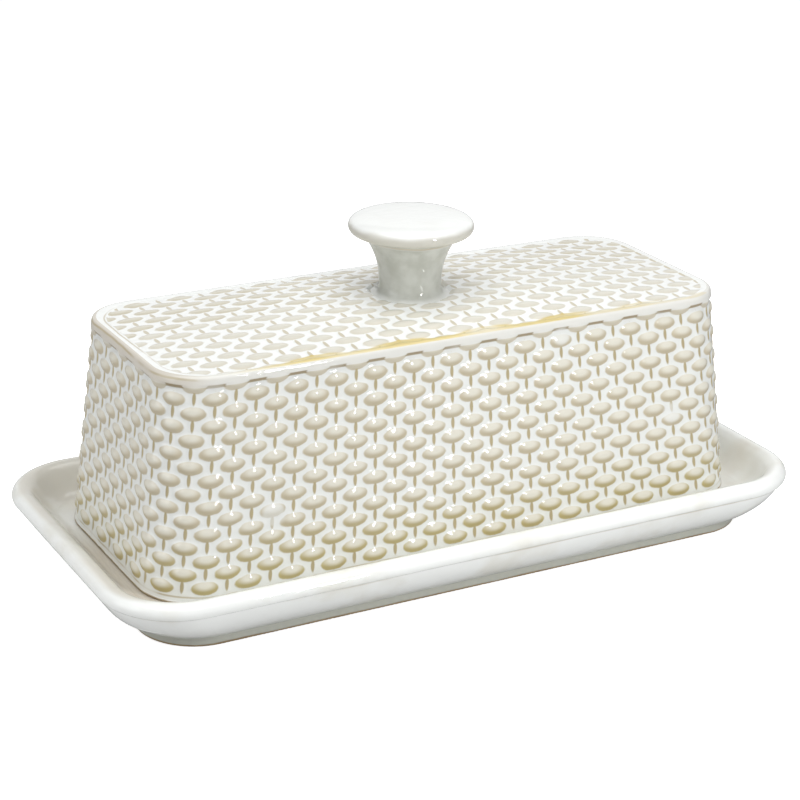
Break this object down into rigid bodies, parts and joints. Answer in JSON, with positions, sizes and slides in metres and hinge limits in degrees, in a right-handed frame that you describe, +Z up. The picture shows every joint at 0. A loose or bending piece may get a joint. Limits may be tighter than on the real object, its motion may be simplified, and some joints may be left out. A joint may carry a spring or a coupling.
{
  "type": "covered butter dish",
  "caption": "Covered stoneware butter dish: footed rectangular dish with a rolled lip, and a deep lid with a mushroom knob that lifts straight off.",
  "frame": {"origin": "on the table, under the centre of the dish's foot ring", "axes": "+X along the dish, -Y to the front, +Z up"},
  "size_m": [0.204, 0.103, 0.0909],
  "materials": {
    "dish_glaze": "gloss glaze",
    "lid_glaze": "gloss reactive glaze over stoneware",
    "knob_glaze": "gloss glaze"
  },
  "bodies": {
    "base": {"dish": "dish_glaze"},
    "lid": {"lid_shell": "lid_glaze", "knob": "knob_glaze"}
  },
  "joints": [
    {"name": "lid_lift", "type": "slide", "parent": "base", "child": "lid", "axis": [0, 0, 1], "range_m": [0, 0.07]}
  ]
}
